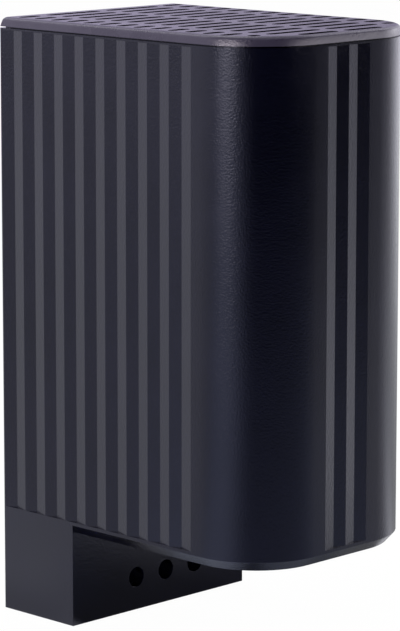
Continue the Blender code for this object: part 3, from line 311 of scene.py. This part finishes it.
def uneven_gloss(tree, shader, factor, roughness, spread):
    """Roughness that wanders round its middle value."""
    gloss = add_node(tree, "ShaderNodeMapRange", inputs={
        "From Min": NOISE_SPAN[0], "From Max": NOISE_SPAN[1],
        "To Min": roughness - spread, "To Max": roughness + spread})
    tree.links.new(factor, gloss.inputs["Value"])
    tree.links.new(gloss.outputs["Result"], shader.inputs["Roughness"])


def shade_walls(tree, shader, color, specular):
    """Painted shade: darken the colour and sheen of the slots' upright walls, as little light gets into
    them.
    """
    shape = add_node(tree, "ShaderNodeNewGeometry")
    parts = add_node(tree, "ShaderNodeSeparateXYZ")
    tree.links.new(shape.outputs["True Normal"], parts.inputs[0])
    slope = add_node(tree, "ShaderNodeMath", operation="ABSOLUTE")
    tree.links.new(parts.outputs["Z"], slope.inputs[0])
    share = add_node(tree, "ShaderNodeMapRange", inputs={
        "From Min": WALL_SLOPE[0], "From Max": WALL_SLOPE[1], "To Min": WALL_SHADE_TONE, "To Max": 1.0})
    tree.links.new(slope.outputs[0], share.inputs["Value"])
    shaded = add_node(tree, "ShaderNodeVectorMath", operation="SCALE")
    tree.links.new(color, shaded.inputs[0])
    tree.links.new(share.outputs["Result"], shaded.inputs["Scale"])
    tree.links.new(shaded.outputs[0], shader.inputs["Base Color"])
    sheen = add_node(tree, "ShaderNodeMath", operation="MULTIPLY", inputs={1: specular})
    tree.links.new(share.outputs["Result"], sheen.inputs[0])
    tree.links.new(sheen.outputs[0], shader.inputs["Specular IOR Level"])


def moulding(
        name, dark, light, roughness, specular=0.5, grain=SOFT_GRAIN, sheen_tint=WHITE, painted_wall_shade=False):
    """Moulded plastic: fine grain, faint mottling and uneven gloss."""
    material, tree, shader = node_tree(name)
    place = add_node(tree, "ShaderNodeTexCoord").outputs["Object"]
    size, depth, detail = grain
    raise_grain(tree, shader, noise(tree, place, 1 / size, detail, GRAIN_ROUGHNESS), depth)
    mottle = noise(tree, place, MOTTLE_SCALE, MOTTLE_DETAIL, MOTTLE_ROUGHNESS)
    color = two_tones(tree, shader, mottle, MOTTLE_STOPS, dark, light)
    uneven_gloss(tree, shader, mottle, roughness, MOTTLE_GLOSS)
    shader.inputs["IOR"].default_value = PLASTIC_IOR
    shader.inputs["Specular IOR Level"].default_value = specular
    shader.inputs["Specular Tint"].default_value = (*sheen_tint, 1.0)
    # Painted shade on the upright walls of the slots, in colour and sheen
    if painted_wall_shade:
        shade_walls(tree, shader, color, specular)
    return material


def metal(name, color, roughness, line_size, stretch=(1.0, 1.0, 1.0)):
    """Metal with fine drawn or rolled lines and patches of uneven polish."""
    material, tree, shader = node_tree(name)
    place = add_node(tree, "ShaderNodeTexCoord").outputs["Object"]
    mapping = add_node(tree, "ShaderNodeMapping", inputs={"Scale": stretch})
    tree.links.new(place, mapping.inputs["Vector"])
    lines = noise(tree, mapping.outputs["Vector"], 1 / line_size, LINE_DETAIL)
    raise_grain(tree, shader, lines, LINE_DEPTH, LINE_STRENGTH)
    patches = noise(tree, place, PATCH_SCALE, PATCH_DETAIL)
    shaded = [PATCH_SHADE * channel for channel in color]
    two_tones(tree, shader, patches, PATCH_STOPS, shaded, color)
    uneven_gloss(tree, shader, patches, roughness, PATCH_GLOSS)
    shader.inputs["Metallic"].default_value = 1.0
    return material


materials = {name: moulding(name, **look) for name, look in MOULDINGS.items()}
materials.update({name: metal(name, **look) for name, look in METALS.items()})


# Pieces

def mark_edges(bm, grooved, seam_level):
    """Mark the edges that stay crisp and how far the rounding goes on each."""
    weight = bm.edges.layers.float.new("bevel_weight_edge")
    shares = HOUSING_SHARES if grooved else OTHER_SHARES
    levels = {"seam": seam_level}
    if grooved:
        levels["groove_end"] = GROOVE_END
        levels["lower_edge"] = LOWER_EDGE
    for face in bm.faces:
        face.smooth = True
    for edge in bm.edges:
        if len(edge.link_faces) != 2:
            continue
        angle = edge.calc_face_angle()
        run = (edge.verts[0].co - edge.verts[1].co).normalized()
        if angle > SHARP_ANGLE:
            kind = "plain"
            for name, level in levels.items():
                if all(abs(vert.co.z - level) < LEVEL_REACH for vert in edge.verts):
                    kind = name
            edge[weight] = shares[kind]
            edge.smooth = False
        elif grooved and abs(run.z) > UPRIGHT and angle > GROOVE_ANGLE:
            edge[weight] = shares["groove"]
            edge.smooth = False


def outside_spigot(place):
    """Whether a point lies on the lid's outer edge, outside its spigot."""
    margin = 0.5 * STEP_INSIDE
    half = LID_HALF_WIDTH - margin
    if abs(place.x) > half or place.y > LID_REAR - margin or place.y < LID_FRONT + margin:
        return True
    along = abs(place.x) - (LID_HALF_WIDTH - LID_CORNER)
    ahead = LID_FRONT + LID_CORNER - place.y
    return along > 0.0 and ahead > 0.0 and math.hypot(along, ahead) > LID_CORNER - margin


def lower_lid_edge(bm, level):
    """Bring the lid's lower outer edge down, which narrows the seam."""
    for vert in bm.verts:
        if abs(vert.co.z - LID_UNDERSIDE) < LEVEL_REACH and outside_spigot(vert.co):
            vert.co.z = level


def dress(name, slot):
    """Stand-in for a CAD node: the same form with welded faces, rounded edges and its finish."""
    piece = bpy.data.objects.new("dressed_" + name, nodes[name].data.copy())
    scene.collection.objects.link(piece)
    bm = bmesh.new()
    bm.from_mesh(piece.data)
    bmesh.ops.remove_doubles(bm, verts=bm.verts, dist=WELD)
    bmesh.ops.dissolve_limit(bm, angle_limit=FLAT, verts=bm.verts, edges=bm.edges)
    bmesh.ops.recalc_face_normals(bm, faces=bm.faces)
    seam_level = HOUSING_RIM
    if name == "top_grille":
        seam_level = LID_UNDERSIDE - SEAM_CLOSING
        lower_lid_edge(bm, seam_level)
    mark_edges(bm, name == "housing", seam_level)
    bm.to_mesh(piece.data)
    bm.free()
    piece.data.materials.clear()
    piece.data.materials.append(materials[OWN_FINISH.get(name, slot)])
    bevel = piece.modifiers.new("rounded_edges", "BEVEL")
    bevel.width = EDGE_ROUNDING.get(name, OTHER_ROUNDING)
    bevel.segments = ROUNDING_SEGMENTS
    bevel.limit_method = "WEIGHT"
    bevel.harden_normals = True
    bevel.use_clamp_overlap = True
    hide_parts(name)
    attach(piece, "root")


def lid_outline(inset):
    """Outline of the lid in plan, moved inwards: two round front corners and a straight rear."""
    radius = LID_CORNER - inset
    half = LID_HALF_WIDTH - inset
    front = LID_FRONT + inset
    points = [(-half, LID_REAR - inset)]
    for centre_x, start in ((radius - half, 180.0), (half - radius, 270.0)):
        for step in range(CORNER_STEPS + 1):
            angle = math.radians(start + 90.0 * step / CORNER_STEPS)
            points.append((centre_x + radius * math.cos(angle), front + radius + radius * math.sin(angle)))
    points.append((half, LID_REAR - inset))
    return points


def build_seam_step():
    """Step inside the seam, which keeps the seam shallow."""
    bm = bmesh.new()
    low = HOUSING_RIM + STEP_CLEARANCE
    high = LID_UNDERSIDE
    loops = []
    for inset, level in ((STEP_OUTSIDE, low), (STEP_OUTSIDE, high), (STEP_INSIDE, high), (STEP_INSIDE, low)):
        loops.append([bm.verts.new((x, y, level)) for x, y in lid_outline(inset)])
    for lower, upper in zip(loops, loops[1:] + loops[:1]):
        for index in range(len(lower)):
            after = (index + 1) % len(lower)
            bm.faces.new((lower[index], lower[after], upper[after], upper[index]))
    bmesh.ops.recalc_face_normals(bm, faces=bm.faces)
    mesh = bpy.data.meshes.new("seam_step")
    bm.to_mesh(mesh)
    bm.free()
    step = bpy.data.objects.new("seam_step", mesh)
    scene.collection.objects.link(step)
    mesh.materials.append(materials["black_moulding"])
    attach(step, "root")


# Studio

def direction(azimuth, elevation):
    """Unit vector from the object; azimuth 0 is its front and 90 its left side."""
    a = math.radians(azimuth)
    e = math.radians(elevation)
    return Vector((-math.sin(a) * math.cos(e), -math.cos(a) * math.cos(e), math.sin(e)))


def soft_light(name, azimuth, elevation, distance, size, power, color):
    """Rectangular area light that faces the object."""
    lamp = bpy.data.lights.new(name, "AREA")
    lamp.shape = "RECTANGLE"
    lamp.size, lamp.size_y = size
    lamp.energy = power
    lamp.color = color
    holder = bpy.data.objects.new(name, lamp)
    towards = direction(azimuth, elevation)
    holder.location = MIDDLE + towards * distance
    holder.rotation_mode = "QUATERNION"
    holder.rotation_quaternion = towards.to_track_quat("Z", "Y")
    holder.visible_camera = False
    scene.collection.objects.link(holder)


def seen_factor(tree):
    """Factor that is 1 where the camera, a reflection or a clear body looks, and 0 for other light."""
    path = add_node(tree, "ShaderNodeLightPath")
    seen = path.outputs["Is Camera Ray"]
    for ray in ("Is Glossy Ray", "Is Transmission Ray"):
        either = add_node(tree, "ShaderNodeMath", operation="MAXIMUM")
        tree.links.new(seen, either.inputs[0])
        tree.links.new(path.outputs[ray], either.inputs[1])
        seen = either.outputs[0]
    return seen


def build_floor():
    """Plain pale floor that keeps a faint shadow and looks white."""
    bm = bmesh.new()
    bmesh.ops.create_circle(bm, cap_ends=True, segments=FLOOR_SEGMENTS, radius=FLOOR_RADIUS)
    mesh = bpy.data.meshes.new("floor")
    bm.to_mesh(mesh)
    bm.free()
    floor = bpy.data.objects.new("floor", mesh)
    floor.location = (0.0, 0.0, FLOOR_LEVEL - FLOOR_DROP)
    scene.collection.objects.link(floor)
    material, tree, shader = node_tree("pale_floor")
    shader.inputs["Base Color"].default_value = (FLOOR_TONE, FLOOR_TONE, FLOOR_TONE, 1.0)
    shader.inputs["Roughness"].default_value = FLOOR_ROUGHNESS
    shader.inputs["Specular IOR Level"].default_value = 0.0
    glow = add_node(tree, "ShaderNodeEmission", inputs={"Color": (*WHITE, 1.0), "Strength": SEEN_STRENGTH})
    share = add_node(tree, "ShaderNodeMath", operation="MULTIPLY", inputs={1: FLOOR_WHITE})
    tree.links.new(seen_factor(tree), share.inputs[0])
    mix = add_node(tree, "ShaderNodeMixShader")
    tree.links.new(share.outputs[0], mix.inputs["Fac"])
    tree.links.new(shader.outputs[0], mix.inputs[1])
    tree.links.new(glow.outputs[0], mix.inputs[2])
    tree.links.new(mix.outputs[0], tree.nodes["Material Output"].inputs["Surface"])
    mesh.materials.append(material)


def build_world():
    """White surroundings for the camera and for reflections, and softer light for all else."""
    world = bpy.data.worlds.new("studio")
    scene.world = world
    world.use_nodes = True
    tree = world.node_tree
    mix = add_node(tree, "ShaderNodeMixShader")
    tree.links.new(seen_factor(tree), mix.inputs["Fac"])
    for index, strength in ((1, ROOM_STRENGTH), (2, SEEN_STRENGTH)):
        light = add_node(tree, "ShaderNodeBackground", inputs={"Color": (*WHITE, 1.0), "Strength": strength})
        tree.links.new(light.outputs[0], mix.inputs[index])
    tree.links.new(mix.outputs[0], tree.nodes["World Output"].inputs["Surface"])


def tones_at(azimuth):
    """Tones at an azimuth, worked out between the table's rows on either side of it."""
    after = next(index for index, row in enumerate(SURROUND) if index > 0 and azimuth <= row[0])
    left, *low = SURROUND[after - 1]
    right, *high = SURROUND[after]
    share = (azimuth - left) / (right - left)
    return [a + (b - a) * share for a, b in zip(low, high)]


def surround_tone(azimuth, distance, height):
    """Painted tone of the glowing surround at an azimuth, a distance from the footprint and a height."""
    foot, near, far, top = tones_at(azimuth)
    under = UNDER_REAR_DISTANCE if abs(azimuth) > UNDER_REAR_AZIMUTH else UNDER_DISTANCE
    # Painted shadow of the object on the cloth, as reflections see it
    if distance < under:
        return UNDER_SHADOW_TONE
    if distance < ROUND_FOOT:
        return foot
    if height > 0.0:
        return far + (top - far) * height / CARD_ROWS[-1]
    return near + (far - near) * distance / CLOTH_RINGS[-1]


def surround_tint(azimuth, height):
    """Tint of the surround: of its cards above the floor's level, and of its cloth at that level."""
    if height > 0.0:
        return REAR_TINT if azimuth < REAR_AZIMUTH else CARD_TINT
    return SHADE_TINT if SHADE_AZIMUTHS[0] < azimuth < SHADE_AZIMUTHS[1] else CLOTH_TINT


def foot_radius(azimuth):
    """Distance from the middle to the edge of the object's rectangular footprint."""
    towards = direction(azimuth, 0.0)
    return min(HALF_FOOT[0] / max(abs(towards.x), SMALLEST), HALF_FOOT[1] / max(abs(towards.y), SMALLEST))


def surround_mesh():
    """Rings of cloth and rows of cards, with their painted glow colour at each corner."""
    bm = bmesh.new()
    layer = bm.verts.layers.float_color.new("tone")
    profile = [(distance, 0.0) for distance in CLOTH_RINGS]
    profile += [(CLOTH_RINGS[-1], height) for height in CARD_ROWS]
    first, last = SURROUND[0][0], SURROUND[-1][0]
    rows = []
    for distance, height in profile:
        row = []
        for step in range(CARD_STEPS + 1):
            azimuth = first + (last - first) * step / CARD_STEPS
            reach = foot_radius(azimuth) * (1.0 - max(distance, 0.0)) + distance
            spot = MIDDLE + direction(azimuth, 0.0) * max(reach, 0.0)
            vert = bm.verts.new((spot.x, spot.y, FLOOR_LEVEL + height - 0.5 * FLOOR_DROP))
            tone = surround_tone(azimuth, distance, height)
            vert[layer] = (*[tone * channel for channel in surround_tint(azimuth, height)], 1.0)
            row.append(vert)
        rows.append(row)
    for lower, upper in zip(rows, rows[1:]):
        for index in range(CARD_STEPS):
            bm.faces.new((lower[index], lower[index + 1], upper[index + 1], upper[index]))
    mesh = bpy.data.meshes.new("surround")
    bm.to_mesh(mesh)
    bm.free()
    return mesh


def build_surround():
    """Glowing cloth and curved cards round the object, painted with light and shade, which only reflections
    see.
    """
    surround = bpy.data.objects.new("surround", surround_mesh())
    scene.collection.objects.link(surround)
    material, tree, shader = node_tree("surround")
    tree.nodes.remove(shader)
    tone = add_node(tree, "ShaderNodeAttribute", attribute_name="tone")
    # The painted tones glow, and stand in for the light and shade that the object mirrors
    glow = add_node(tree, "ShaderNodeEmission", inputs={"Strength": 1.0})
    tree.links.new(tone.outputs["Color"], glow.inputs["Color"])
    tree.links.new(glow.outputs[0], tree.nodes["Material Output"].inputs["Surface"])
    surround.data.materials.append(material)
    surround.visible_camera = False
    surround.visible_diffuse = False
    surround.visible_transmission = False
    surround.visible_volume_scatter = False
    surround.visible_shadow = False


def build_camera():
    """Camera at the photograph's place and angle."""
    camera_data = bpy.data.cameras.new("camera")
    camera_data.sensor_width = CAMERA_SENSOR
    camera_data.lens = CAMERA_LENS
    camera_data.shift_x, camera_data.shift_y = CAMERA_SHIFT
    camera_data.clip_start = CAMERA_CLIP_START
    camera = bpy.data.objects.new("camera", camera_data)
    camera.location = CAMERA_PLACE
    camera.rotation_euler = Euler((math.radians(90.0 - CAMERA_PITCH), 0.0, math.radians(CAMERA_YAW)), "XYZ")
    scene.collection.objects.link(camera)
    scene.camera = camera


for part in frame["record"]["subparts"]:
    dress(part["node"], part["material_slot"])
build_seam_step()

build_floor()
build_world()
for lamp_name, lamp_settings in LAMPS.items():
    soft_light(lamp_name, *lamp_settings)
build_surround()
build_camera()
scene.view_settings.view_transform = "Standard"
